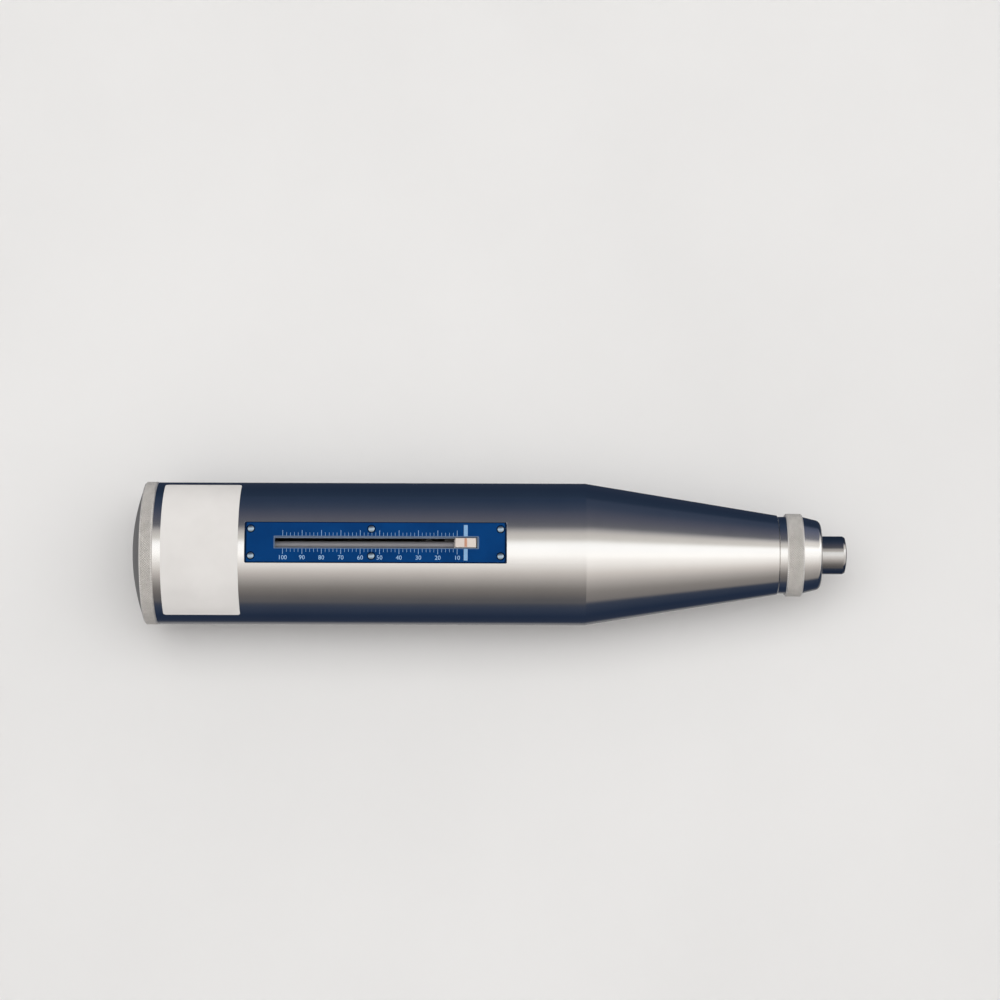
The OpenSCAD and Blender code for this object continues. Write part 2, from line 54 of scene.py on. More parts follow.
MM = 0.001
barrel_r = 28.0
bore_r = 23.5
x_rear = -250.6
x_shoulder = -82.3
x_front = -6.1
cone_front_r = 15.7
edge = 0.5
rear_chamfer = 0.2
neck_x = 0.9
neck_r = 13.5
sleeve_bore_r = 10.05
sleeve_bore_rear = -25.9
cone_bore_r = 13.2
cone_bore_rear = -77.9
barrel_sides = 240
housing_sharp = 8.0
clear_of_barrel = barrel_r + 5.0
plate_rear = -214.7
plate_front = -113.2
plate_half = 8.0
flat_z = math.sqrt(barrel_r**2 - plate_half**2)
recess_gap = 0.05
slot_rear = -203.0
slot_front = -124.65
slot_half = 2.1
slot_end_gap = 0.3
slot_side_gap = 0.2
slot_cut_floor = 10.0
wall_reach = 0.5
wall_floor = 20.0
button_x = -217.4
button_angle = math.radians(140.0)
well_floor = 10.0
well_top = 40.0
well_r = 5.6
spot_face = 27.0
spot_face_r = 7.2


def even_angles(count):
    """Angles of a ring's points, from the top and round by the +Y side."""
    return [math.tau * i / count for i in range(count)]


def ring(bm, x, r, angles):
    """One ring of points round the tool's axis, or a single point where the radius is nil."""
    if r < 1e-6:
        return [bm.verts.new((x, 0.0, 0.0))]
    return [bm.verts.new((x, r * math.sin(a), r * math.cos(a))) for a in angles]


def skin(bm, first, second):
    """Faces between two rings, either of which may be a single point on the axis."""
    count = max(len(first), len(second))
    if count == 1:
        return
    for i in range(count):
        j = (i + 1) % count
        corners = [first[i % len(first)], first[j % len(first)]]
        corners += [second[j % len(second)], second[i % len(second)]]
        bm.faces.new(list(dict.fromkeys(corners)))


def turn(outline, angles):
    """Turn a closed outline of (x, radius) points into a solid about the tool's axis."""
    bm = bmesh.new()
    rings = [ring(bm, x, r, angles) for x, r in outline]
    for first, second in zip(rings, rings[1:] + rings[:1]):
        skin(bm, first, second)
    return bm


def ease(outline, steps=4):
    """Round an outline's corners: each point is (x, radius, fillet)."""
    eased = []
    for i, (x, r, fillet) in enumerate(outline):
        corner = Vector((x, r))
        if fillet == 0:
            eased.append((x, r))
            continue
        back = (Vector(outline[i - 1][:2]) - corner).normalized()
        ahead = (Vector(outline[(i + 1) % len(outline)][:2]) - corner).normalized()
        half = back.angle(ahead) / 2
        centre = corner + (back + ahead).normalized() * fillet / math.sin(half)
        start = corner + back * fillet / math.tan(half) - centre
        end = corner + ahead * fillet / math.tan(half) - centre
        sweep = start.angle(end)
        for k in range(steps + 1):
            t = k / steps
            spoke = start * math.sin((1 - t) * sweep) + end * math.sin(t * sweep)
            eased.append(tuple(centre + spoke / math.sin(sweep)))
    return eased


def block(x0, x1, y0, y1, z0, z1):
    """A plain box, for cutting."""
    bm = bmesh.new()
    bmesh.ops.create_cube(bm, size=1.0)
    middle = Vector(((x0 + x1) / 2, (y0 + y1) / 2, (z0 + z1) / 2))
    bmesh.ops.scale(bm, vec=(x1 - x0, y1 - y0, z1 - z0), verts=bm.verts)
    bmesh.ops.translate(bm, vec=middle, verts=bm.verts)
    return bm


def to_button(bm):
    """Carry a solid turned about the axis over to the button's own axis, which X becomes."""
    out = Vector((0.0, math.sin(button_angle), math.cos(button_angle)))
    side = Vector((1.0, 0.0, 0.0))
    place = Matrix((out, side, out.cross(side))).transposed().to_4x4()
    bmesh.ops.transform(bm, matrix=Matrix.Translation((button_x, 0, 0)) @ place, verts=bm.verts)
    return bm


def make_piece(name, bm, finishes, sharp=25.0):
    """Make an object of a mesh drawn in mm, smooth but for edges sharper than an angle in degrees."""
    bmesh.ops.remove_doubles(bm, verts=bm.verts, dist=1e-5)
    bmesh.ops.recalc_face_normals(bm, faces=bm.faces)
    bmesh.ops.scale(bm, vec=(MM, MM, MM), verts=bm.verts)
    mesh = bpy.data.meshes.new(name)
    bm.to_mesh(mesh)
    bm.free()
    for finish in finishes:
        mesh.materials.append(finish)
    piece = bpy.data.objects.new(name, mesh)
    bpy.context.scene.collection.objects.link(piece)
    dress_edges(piece, sharp)
    return piece


def dress_edges(piece, sharp):
    """Smooth shading up to an angle in degrees, with the large faces keeping their own normals."""
    piece.data.shade_smooth()
    piece.data.set_sharp_from_angle(angle=math.radians(sharp))
    piece.modifiers.clear()
    normals = piece.modifiers.new("face normals", "WEIGHTED_NORMAL")
    normals.keep_sharp = True


def cut(piece, bm, sharp=25.0):
    """Cut a closed tool, drawn in mm, out of a piece."""
    tool = make_piece(piece.name + "_tool", bm, [])
    piece.modifiers.clear()
    chop = piece.modifiers.new("cut", "BOOLEAN")
    chop.operation = "DIFFERENCE"
    chop.solver = "EXACT"
    chop.object = tool
    graph = bpy.context.evaluated_depsgraph_get()
    whole = piece.data
    piece.data = bpy.data.meshes.new_from_object(piece.evaluated_get(graph))
    piece.data.name = piece.name
    bpy.data.meshes.remove(whole)
    bpy.data.meshes.remove(tool.data)
    dress_edges(piece, sharp)


def start_finish(name):
    """A new finish: its material, its shader, and functions that add and join nodes."""
    finish = bpy.data.materials.new(name)
    finish.use_nodes = True
    tree = finish.node_tree
    shader = tree.nodes["Principled BSDF"]

    def put(kind, **values):
        node = tree.nodes.new("ShaderNode" + kind)
        for key, value in values.items():
            node.inputs[key.replace("_", " ")].default_value = value
        return node

    return finish, shader, put, tree.links.new


def two_tones(put, low, high, start=0.0, end=1.0):
    """A ramp between two colours."""
    ramp = put("ValToRGB")
    ramp.color_ramp.elements[0].position = start
    ramp.color_ramp.elements[1].position = end
    ramp.color_ramp.elements[0].color = (*low, 1.0)
    ramp.color_ramp.elements[1].color = (*high, 1.0)
    return ramp


def spread(put, low, high):
    """A node that spreads a noise's middle values from one number to another."""
    return put("MapRange", From_Min=0.3, From_Max=0.7, To_Min=low, To_Max=high)


def turned_metal(name, light, dark, shine, lines=0.06, metallic=1.0):
    """Bare metal off the lathe: fine tool lines round the axis, and faint handling marks."""
    finish, shader, put, join = start_finish(name)
    shader.inputs["Metallic"].default_value = metallic
    place = put("TexCoord")
    stretch = put("Mapping", Scale=(2400.0, 9.0, 9.0))
    tool_lines = put("TexNoise", Scale=1.0, Detail=3.0, Roughness=0.6)
    marks = put("TexNoise", Scale=55.0, Detail=5.0, Roughness=0.62)
    tone = two_tones(put, dark, light, 0.3, 0.7)
    gloss = spread(put, *shine)
    relief = put("Bump", Strength=lines, Distance=0.00002)
    mixed = put("Math")
    mixed.operation = "MULTIPLY_ADD"
    mixed.inputs[1].default_value = 0.35
    join(place.outputs["Object"], stretch.inputs["Vector"])
    join(place.outputs["Object"], marks.inputs["Vector"])
    join(stretch.outputs["Vector"], tool_lines.inputs["Vector"])
    join(tool_lines.outputs["Fac"], mixed.inputs[0])
    join(marks.outputs["Fac"], mixed.inputs[2])
    join(marks.outputs["Fac"], tone.inputs["Fac"])
    join(tone.outputs["Color"], shader.inputs["Base Color"])
    join(mixed.outputs["Value"], gloss.inputs["Value"])
    join(gloss.outputs["Result"], shader.inputs["Roughness"])
    join(tool_lines.outputs["Fac"], relief.inputs["Height"])
    join(relief.outputs["Normal"], shader.inputs["Normal"])
    return finish


def matt_coat(name, light, dark):
    """A thin matt coat, a little uneven."""
    finish, shader, put, join = start_finish(name)
    shader.inputs["Roughness"].default_value = 0.8
    shader.inputs["Specular IOR Level"].default_value = 0.1
    place = put("TexCoord")
    uneven = put("TexNoise", Scale=400.0, Detail=4.0, Roughness=0.6)
    tone = two_tones(put, dark, light, 0.3, 0.7)
    join(place.outputs["Object"], uneven.inputs["Vector"])
    join(uneven.outputs["Fac"], tone.inputs["Fac"])
    join(tone.outputs["Color"], shader.inputs["Base Color"])
    return finish


def fit(piece, body, slot, *replaced):
    """Let a piece ride on its body, and hide the CAD nodes that it stands for. Its slot is not used.
    """
    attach(piece, body)
    if replaced:
        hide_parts(*replaced)


barrel_finish = turned_metal(
    "satin_turned_aluminium", (0.80, 0.79, 0.775), (0.77, 0.76, 0.745), (0.11, 0.16), 0.05
)
housing_outline = [
    (x_rear, bore_r),
    (x_rear, barrel_r - rear_chamfer),
    (x_rear + rear_chamfer, barrel_r),
    (x_shoulder, barrel_r),
    (x_front - edge, cone_front_r),
    (x_front, cone_front_r - edge),
    (x_front, neck_r),
    (neck_x, neck_r),
    (neck_x, sleeve_bore_r),
    (sleeve_bore_rear, sleeve_bore_r),
    (sleeve_bore_rear, cone_bore_r),
    (cone_bore_rear, bore_r),
]
housing_mesh = turn(housing_outline, even_angles(barrel_sides))
housing = make_piece("barrel_housing", housing_mesh, [barrel_finish], housing_sharp)
flat_cut = block(
    plate_rear - recess_gap,
    plate_front + recess_gap,
    -barrel_r,
    barrel_r,
    flat_z,
    clear_of_barrel,
)
cut(housing, flat_cut, housing_sharp)
slot_cut = block(
    slot_rear - slot_end_gap,
    slot_front + slot_end_gap,
    -slot_half - slot_side_gap,
    slot_half + slot_side_gap,
    slot_cut_floor,
    clear_of_barrel,
)
cut(housing, slot_cut, housing_sharp)
bush_well = [
    (well_floor, 0.0),
    (well_floor, well_r),
    (spot_face, well_r),
    (spot_face, spot_face_r),
    (well_top, spot_face_r),
    (well_top, 0.0),
]
cut(housing, to_button(turn(bush_well, even_angles(72))), housing_sharp)
# The slot's bare walls get a pale blue-grey matt finish: painted light and painted blue reflection,
# standing in for what the bare metal walls catch.
wall_painted_light = matt_coat("slot_wall_painted_light", (0.64, 0.75, 0.92), (0.58, 0.69, 0.86))
housing.data.materials.append(wall_painted_light)
for face in housing.data.polygons:
    spot = face.center / MM
    along = slot_rear - wall_reach < spot.x < slot_front + wall_reach
    across = abs(spot.y) < slot_half + wall_reach
    steep = abs(face.normal.z) < 0.5
    if along and across and steep and spot.z > wall_floor:
        face.material_index = 1
fit(housing, "housing", "turned_aluminium", "housing")

# Rear cover
# A screwed cover, turned from aluminium with a shallow dome at the back. Its rim is rolled with a
# fine diamond knurl, so that it can be gripped to open the barrel.

rim_rear = -255.6
rim_r = 28.2
dome_h = 5.1
dome_steps = 14
knurl_pitch = 0.95
knurl_land = 0.38
rim_rows = 4
rim_groove = 0.24
plug_r = 23.4
plug_front = x_rear + 8.0
cup_r = 17.2
cup_floor = -252.1


def knurl(bm, x0, x1, r, pitch, rows, depth, land):
    """A band of truncated diamonds, with finish 1 on top and 2 in the grooves.

    Gives the angles of the points along its edges, and the points of both edges.
    """
    count = round(math.tau * r / pitch)
    length = (x1 - x0) / rows
    points = {}

    def point(around, along, height):
        key = (round(around % count, 4), round(along, 4))
        if key not in points:
            a = math.tau * around / count
            radius = r - depth * (1.0 - height)
            spot = (x0 + along * length, radius * math.sin(a), radius * math.cos(a))
            points[key] = bm.verts.new(spot)
        return points[key]

    def diamond(a, b, corners):
        low = [point(a + u / 2, b + v / 2, 0.0) for u, v in corners]
        top = [point(a + u * land / 2, b + v * land / 2, 1.0) for u, v in corners]
        bm.faces.new(top).material_index = 1
        closed = len(corners) == 4
        for k in range(len(corners) if closed else len(corners) - 1):
            n = (k + 1) % len(corners)
            bm.faces.new([low[k], low[n], top[n], top[k]]).material_index = 2

    for i in range(count):
        for j in range(rows):
            diamond(i + 0.5, j + 0.5, [(-1, 0), (0, 1), (1, 0), (0, -1)])
        for j in range(1, rows):
            diamond(i, j, [(-1, 0), (0, 1), (1, 0), (0, -1)])
        diamond(i, 0, [(-1, 0), (0, 1), (1, 0)])
        diamond(i, rows, [(1, 0), (0, -1), (-1, 0)])
    steps = [i + k for i in range(count) for k in (-land / 2, land / 2, 0.5)]
    angles = [math.tau * s / count for s in steps]
    sides = [[points[(round(s % count, 4), round(float(b), 4))] for s in steps] for b in (0, rows)]
    return angles, sides[0], sides[1]


def dull_edges(bm, r):
    """Give the chamfers beside a knurled band of a radius the finish of its lands."""
    for face in bm.faces:
        outside = all(math.hypot(v.co.y, v.co.z) > r - edge - 0.01 for v in face.verts)
        if outside and face.material_index == 0:
            face.material_index = 1


def ball_cap(apex, ball, edge_r, steps, way):
    """Points of a ball's cap, from its edge to its apex, which faces +X (way 1) or -X (way -1)."""
    points = []
    for k in range(steps + 1):
        lean = math.asin(edge_r / ball) * (1 - k / steps)
        points.append((apex - way * ball * (1 - math.cos(lean)), ball * math.sin(lean)))
    return points


def knurled_metal(name, light, dark, shine, metallic):
    """Rolled knurl, with a fine wear that breaks up its shine."""
    finish, shader, put, join = start_finish(name)
    shader.inputs["Metallic"].default_value = metallic
    place = put("TexCoord")
    wear = put("TexNoise", Scale=380.0, Detail=4.0, Roughness=0.6)
    tone = two_tones(put, dark, light, 0.35, 0.65)
    gloss = spread(put, *shine)
    relief = put("Bump", Strength=0.15, Distance=0.00004)
    join(place.outputs["Object"], wear.inputs["Vector"])
    join(wear.outputs["Fac"], tone.inputs["Fac"])
    join(tone.outputs["Color"], shader.inputs["Base Color"])
    join(wear.outputs["Fac"], gloss.inputs["Value"])
    join(gloss.outputs["Result"], shader.inputs["Roughness"])
    join(wear.outputs["Fac"], relief.inputs["Height"])
    join(relief.outputs["Normal"], shader.inputs["Normal"])
    return finish


knurl_lands = knurled_metal(
    "knurl_lands", (0.81, 0.79, 0.765), (0.70, 0.685, 0.665), (0.3, 0.42), 0.6
)
# The grooves' finish is a darker, less metallic copy of the lands': painted shade in the knurl's
# hollows.
knurl_grooves_painted_shade = knurled_metal(
    "knurl_grooves_painted_shade", (0.64, 0.62, 0.595), (0.55, 0.535, 0.51), (0.48, 0.6), 0.35
)
# The cover's turned aluminium is dimmed to about half the barrel's brightness: painted shade on the
# dome.
cover_finish = turned_metal(
    "turned_cover_painted_shade", (0.41, 0.405, 0.40), (0.37, 0.367, 0.362), (0.36, 0.46), 0.1, 0.95
)
cover_mesh = bmesh.new()
cover_angles, rim_back, rim_front = knurl(
    cover_mesh, rim_rear + edge, x_rear - edge, rim_r, knurl_pitch, rim_rows, rim_groove, knurl_land
)
plug_points = [(x_rear, rim_r - edge), (x_rear, plug_r), (plug_front, plug_r)]
plug_points += [(plug_front, cup_r), (cup_floor, cup_r), (cup_floor, 0.0)]
front_chain = [rim_front]
front_chain += [ring(cover_mesh, x, r, cover_angles) for x, r in plug_points]
dome_edge = rim_r - 2 * edge
dome_ball = (dome_edge**2 + dome_h**2) / (2 * dome_h)
dome_points = [(rim_rear, rim_r - edge)]
dome_points += ball_cap(rim_rear - dome_h, dome_ball, dome_edge, dome_steps, -1)
dome_chain = [rim_back]
dome_chain += [ring(cover_mesh, x, r, cover_angles) for x, r in dome_points]
for chain in (front_chain, dome_chain):
    for first, second in zip(chain, chain[1:]):
        skin(cover_mesh, first, second)
dull_edges(cover_mesh, rim_r)
cover_finishes = [cover_finish, knurl_lands, knurl_grooves_painted_shade]
cover = make_piece("rear_cover_knurled", cover_mesh, cover_finishes, 20.0)
fit(cover, "housing", "turned_aluminium", "rear_cover")

# Nose cap
# A screwed cap that closes the front and holds the plunger's bush. It is turned from aluminium,
# with a knurled collar to grip it by, and in front of that a tapered nose with a rounded edge.

collar_half = 3.3
collar_r = 16.35
collar_rows = 6
collar_groove = 0.22
skirt_r = 15.15
nose_back_r = 15.2
nose_front = 10.7
nose_slope = math.radians(14.0)
nose_round = 2.2
nose_round_steps = 8
nose_hole_r = 7.8
pocket_front = 7.65
pocket_rear = 3.6
pocket_r = 10.1
ring_pocket_r = 13.1
cap_thread_r = 13.6
nose_mesh = bmesh.new()
collar_angles, collar_back, collar_front = knurl(
    nose_mesh,
    -collar_half + edge,
    collar_half - edge,
    collar_r,
    knurl_pitch,
    collar_rows,
    collar_groove,
    knurl_land,
)
nose_corner_r = nose_back_r - (nose_front - collar_half) * math.tan(nose_slope)
nose_side = [(collar_half, nose_back_r, 0), (nose_front, nose_corner_r, nose_round)]
nose_side += [(nose_front, nose_hole_r, 0), (pocket_front, nose_hole_r, 0)]
nose_points = [(collar_half, collar_r - edge)]
nose_points += ease(nose_side, nose_round_steps)
nose_points += [(pocket_front, pocket_r), (pocket_rear, pocket_r), (pocket_rear, ring_pocket_r)]
nose_points += [(neck_x, ring_pocket_r), (neck_x, cap_thread_r), (x_front, cap_thread_r)]
nose_points += [(x_front, skirt_r), (-collar_half, skirt_r), (-collar_half, collar_r - edge)]
nose_chain = [collar_front]
nose_chain += [ring(nose_mesh, x, r, collar_angles) for x, r in nose_points]
nose_chain.append(collar_back)
for first, second in zip(nose_chain, nose_chain[1:]):
    skin(nose_mesh, first, second)
dull_edges(nose_mesh, collar_r)
nose_finishes = [barrel_finish, knurl_lands, knurl_grooves_painted_shade]
nose_cap = make_piece("nose_cap_knurled", nose_mesh, nose_finishes, 20.0)
fit(nose_cap, "housing", "turned_aluminium", "nose_cap")

# Plunger's bush, half rings and wiper
# A bronze sleeve guides the plunger, and two half rings under the cap hold it. A felt ring in
# front of it wipes dust off the plunger.

wiper_rear = 4.6
wiper_front = 7.6
wiper_r = 10.0
wiper_hole_r = 7.55
wiper_round = 0.5
wiper_lip_round = 0.3


def bushing_bronze(name):
    """Turned bronze with a warm, slightly stained face."""
    return turned_metal(name, (0.68, 0.50, 0.27), (0.56, 0.39, 0.19), (0.24, 0.36))


def wool_felt(name):
    """Pressed wool felt: a matt tangle of fibres."""
    finish, shader, put, join = start_finish(name)
    shader.inputs["Roughness"].default_value = 0.95
    shader.inputs["Sheen Weight"].default_value = 0.4
    place = put("TexCoord")
    fibres = put("TexNoise", Scale=2600.0, Detail=6.0, Roughness=0.7, Distortion=1.5)
    tone = two_tones(put, (0.42, 0.40, 0.36), (0.68, 0.66, 0.61), 0.3, 0.7)
    relief = put("Bump", Strength=0.6, Distance=0.0002)
    join(place.outputs["Object"], fibres.inputs["Vector"])
    join(fibres.outputs["Fac"], tone.inputs["Fac"])
    join(tone.outputs["Color"], shader.inputs["Base Color"])
    join(fibres.outputs["Fac"], relief.inputs["Height"])
    join(relief.outputs["Normal"], shader.inputs["Normal"])
    return finish


def refinish(finish, *names):
    """Give CAD nodes that keep their shape a finish."""
    for name in names:
        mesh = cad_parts[name].data
        mesh.materials.clear()
        mesh.materials.append(finish)


refinish(bushing_bronze("bushing_bronze"), "guide_sleeve", "split_ring")
felt_outline = [
    (wiper_rear, wiper_hole_r, wiper_lip_round),
    (wiper_rear, wiper_r, wiper_round),
    (wiper_front, wiper_r, wiper_round),
    (wiper_front, wiper_hole_r, wiper_lip_round),
]
felt_mesh = turn(ease(felt_outline), even_angles(96))
felt_ring = make_piece("felt_wiper", felt_mesh, [wool_felt("wool_felt")], 40.0)
fit(felt_ring, "housing", "felt", "felt_washer")

# Scale plate
# A flat aluminium plate, painted blue, in a milled recess on top of the barrel. The slot's edge is
# bevelled, and the paint on it is thin and greyish. The scale is printed on the plate in white. The
# plate's sides, outer bevel and rivet countersinks are a much darker blue: painted shade.

plate_top = flat_z + 1.0
plate_bevel = 0.35
plate_end_bevel = 0.8
plate_corner = 0.5
face_corner = 0.4
slot_bevel = 0.25
slot_rim = 0.4
slot_front_rim = 0.7
slot_corner = 0.15
slack = 0.01
rivet_stations = (-115.6, -165.6, -212.3)
rivet_side = 5.3
sink_outline = [(-2.0, 0.0), (-2.0, 1.0), (-0.5, 1.0), (0.1, 1.75), (0.1, 0.0)]
sink_reach = 1.8
zero_x = -124.9
tenth = 7.5
rest_x = -129.1
print_lift = 0.015
print_edge = slot_half + slot_rim
main_width = 0.16
main_top = 4.7
main_low = -4.6
minor_width = 0.12
minor_top = 3.8
minor_low = -3.8
numeral_y = -6.05
numeral_h = 1.65
figure_share = 0.7
start_width = 1.5
start_top = 6.9
start_low = -7.0


def corner_loop(bm, x0, x1, half, r, z, steps=5):
    """A ring of points round a rectangle with rounded corners."""
    loop = []
    corners = [(x1, half, 0), (x0, half, 1), (x0, -half, 2), (x1, -half, 3)]
    for cx, cy, quarter in corners:
        middle_x = cx - math.copysign(r, cx - (x0 + x1) / 2)
        middle_y = cy - math.copysign(r, cy)
        for k in range(steps + 1):
            a = math.radians(90.0 * (quarter + k / steps))
            loop.append(bm.verts.new((middle_x + r * math.cos(a), middle_y + r * math.sin(a), z)))
    return loop


def blue_paint(name, depth=1.0):
    """Even blue paint with a dull gloss and a trace of the roller in it; depth darkens it into painted
    shade.
    """
    finish, shader, put, join = start_finish(name)
    shader.inputs["Specular IOR Level"].default_value = 0.04
    place = put("TexCoord")
    pores = put("TexNoise", Scale=1500.0, Detail=4.0, Roughness=0.6)
    cloud = put("TexNoise", Scale=70.0, Detail=3.0)
    pale = [depth * c for c in (0.0014, 0.045, 0.180)]
    deep = [depth * c for c in (0.0010, 0.036, 0.150)]
    tone = two_tones(put, deep, pale, 0.35, 0.65)
    gloss = spread(put, 0.42, 0.56)
    relief = put("Bump", Strength=0.06, Distance=0.00003)
    join(place.outputs["Object"], pores.inputs["Vector"])
    join(place.outputs["Object"], cloud.inputs["Vector"])
    join(cloud.outputs["Fac"], tone.inputs["Fac"])
    join(tone.outputs["Color"], shader.inputs["Base Color"])
    join(pores.outputs["Fac"], gloss.inputs["Value"])
    join(gloss.outputs["Result"], shader.inputs["Roughness"])
    join(pores.outputs["Fac"], relief.inputs["Height"])
    join(relief.outputs["Normal"], shader.inputs["Normal"])
    return finish


def printing_ink(name, light, dark):
    """Screen-printed ink, a little thin in places."""
    finish, shader, put, join = start_finish(name)
    shader.inputs["Roughness"].default_value = 0.6
    shader.inputs["Specular IOR Level"].default_value = 0.2
    place = put("TexCoord")
    thin = put("TexNoise", Scale=3000.0, Detail=3.0, Roughness=0.6)
    tone = two_tones(put, dark, light, 0.3, 0.6)
    join(place.outputs["Object"], thin.inputs["Vector"])
    join(thin.outputs["Fac"], tone.inputs["Fac"])
    join(tone.outputs["Color"], shader.inputs["Base Color"])
    return finish


slot_edge = matt_coat("slot_edge_coat", (0.135, 0.195, 0.30), (0.115, 0.17, 0.265))
plate_mesh = bmesh.new()
plate_loops = [
    corner_loop(plate_mesh, plate_rear, plate_front, plate_half, plate_corner, flat_z),
    corner_loop(
        plate_mesh, plate_rear, plate_front, plate_half, plate_corner, plate_top - plate_bevel
    ),
    corner_loop(
        plate_mesh,
        plate_rear + plate_end_bevel,
        plate_front - plate_end_bevel,
        plate_half - plate_bevel,
        face_corner,
        plate_top,
    ),
    corner_loop(
        plate_mesh,
        slot_rear - slot_rim,
        slot_front + slot_front_rim,
        slot_half + slot_rim,
        face_corner,
        plate_top,
    ),
    corner_loop(plate_mesh, slot_rear, slot_front, slot_half, slot_corner, plate_top - slot_bevel),
    corner_loop(plate_mesh, slot_rear, slot_front, slot_half, slot_corner, flat_z),
]
for first, second in zip(plate_loops, plate_loops[1:] + plate_loops[:1]):
    skin(plate_mesh, first, second)
for face in plate_mesh.faces:
    beside_slot = all(abs(v.co.y) < slot_half + slot_rim + slack for v in face.verts)
    behind_front = all(v.co.x < slot_front + slot_front_rim + slack for v in face.verts)
    below_top = min(v.co.z for v in face.verts) < plate_top - slack
    if beside_slot and behind_front:
        face.material_index = 1
    elif below_top:
        face.material_index = 2
# The plate's sides and outer bevel take a much darker copy of its blue: painted shade, as in the gap
# round the plate.
plate_finishes = [blue_paint("plate_blue"), slot_edge, blue_paint("plate_edge_painted_shade", 0.25)]
plate = make_piece("blue_scale_plate", plate_mesh, plate_finishes, 25.0)
rivet_spots = [(x, side * rivet_side) for x in rivet_stations for side in (-1, 1)]
upright = Matrix.Rotation(math.radians(-90.0), 4, "Y")
for x, y in rivet_spots:
    sink = turn(sink_outline, even_angles(32))
    spot = Matrix.Translation((x, y, plate_top))
    bmesh.ops.transform(sink, matrix=spot @ upright, verts=sink.verts)
    cut(plate, sink, 25.0)
# The countersinks round the rivets take the same darker blue: painted shade round each rivet.
for face in plate.data.polygons:
    spot = face.center / MM
    near = min(math.hypot(spot.x - x, spot.y - y) for x, y in rivet_spots)
    if near < sink_reach and spot.z < plate_top - 2 * slack:
        face.material_index = 2
fit(plate, "housing", "blue_plate", "scale_plate")

white_ink = printing_ink("scale_ink", (0.36, 0.56, 0.80), (0.27, 0.45, 0.70))
thin_ink = printing_ink("start_line_ink", (0.25, 0.44, 0.68), (0.20, 0.37, 0.60))


def stroke(bm, x, width, y0, y1, ink=0):
    """One printed line across the plate."""
    line = block(x - width / 2, x + width / 2, y0, y1, plate_top - slack, plate_top + print_lift)
    for face in line.faces:
        face.material_index = ink
    scrap = bpy.data.meshes.new("line")
    line.to_mesh(scrap)
    line.free()
    bm.from_mesh(scrap)
    bpy.data.meshes.remove(scrap)


def numeral(bm, words, x, y, height):
    """A printed number, centred on a point of the plate."""
    curve = bpy.data.curves.new("numeral", "FONT")
    curve.body = words
    curve.size = height / figure_share
    curve.align_x = "CENTER"
    curve.align_y = "CENTER"
    curve.extrude = print_lift / 2
    curve.resolution_u = 3
    lettering = bpy.data.objects.new("numeral", curve)
    bpy.context.scene.collection.objects.link(lettering)
    graph = bpy.context.evaluated_depsgraph_get()
    shape = bpy.data.meshes.new_from_object(lettering.evaluated_get(graph))
    shape.transform(Matrix.Translation((x, y, plate_top + print_lift / 2)))
    bm.from_mesh(shape)
    bpy.data.objects.remove(lettering)
    bpy.data.curves.remove(curve)
    bpy.data.meshes.remove(shape)


scale_mesh = bmesh.new()
for reading in range(10, 101, 2):
    x = zero_x - reading / 10 * tenth
    main = reading % 10 == 0
    width = main_width if main else minor_width
    stroke(scale_mesh, x, width, print_edge, main_top if main else minor_top)
    stroke(scale_mesh, x, width, main_low if main else minor_low, -print_edge)
    if main:
        numeral(scale_mesh, str(reading), x, numeral_y, numeral_h)
stroke(scale_mesh, rest_x, start_width, print_edge, start_top, 1)
stroke(scale_mesh, rest_x, start_width, start_low, -print_edge, 1)
scale_print = make_piece("printed_scale", scale_mesh, [white_ink, thin_ink], 30.0)
fit(scale_print, "housing", "")

# Plate rivets
# Six aluminium drive rivets with low round heads hold the plate. Their shanks are pressed into
# blind holes in the barrel's flat.

rivet_r = 1.2
rivet_head = 0.45
rivet_steps = 6
rivet_ball = (rivet_r**2 + rivet_head**2) / (2 * rivet_head)
shank_r = 0.6
shank_end = -3.2
shank_waist = -1.0
# The rivets' aluminium is tinted blue: painted reflection of blue surroundings.
rivet_metal_painted_reflection = turned_metal(
    "rivet_painted_blue_reflection", (0.43, 0.54, 0.64), (0.37, 0.475, 0.575), (0.3, 0.42), 0.05
)
rivet_points = [(shank_end, 0.0), (shank_end, shank_r), (shank_waist, shank_r), (0.0, shank_r)]
rivet_points += [(0.0, rivet_r)] + ball_cap(rivet_head, rivet_ball, rivet_r, rivet_steps, 1)[1:]
rivet_mesh = bmesh.new()
for x, y in rivet_spots:
    rivet = turn(rivet_points, even_angles(28))
    spot = Matrix.Translation((x, y, plate_top))
    bmesh.ops.transform(rivet, matrix=spot @ upright, verts=rivet.verts)
    scrap = bpy.data.meshes.new("rivet")
    rivet.to_mesh(scrap)
    rivet.free()
    rivet_mesh.from_mesh(scrap)
    bpy.data.meshes.remove(scrap)
rivets = make_piece("drive_rivets", rivet_mesh, [rivet_metal_painted_reflection], 40.0)
fit(rivets, "housing", "rivet_aluminium", "plate_rivets")

# Rider, its rod and its finger
# A moulded white block slides along a ground steel rod inside the barrel. Its top fills the slot
# and carries a red index line, and a steel finger on it is what the hammer mass pushes.

rod_z = 20.9
rod_hole_r = 1.55
rod_hole_rear = -200.0
rod_hole_front = -60.0
carrier_low = 18.9
carrier_high = 22.9
carrier_half_len = 4.5
carrier_half = 3.5
carrier_corner = 0.3
block_half_len = 4.1
block_half = 1.9
block_corner = 0.25
block_top = plate_top - 0.15
block_top_corner = 0.2
rider_bevel = 0.2
index_half = 0.5
index_inset = 0.25
index_sink = 0.05


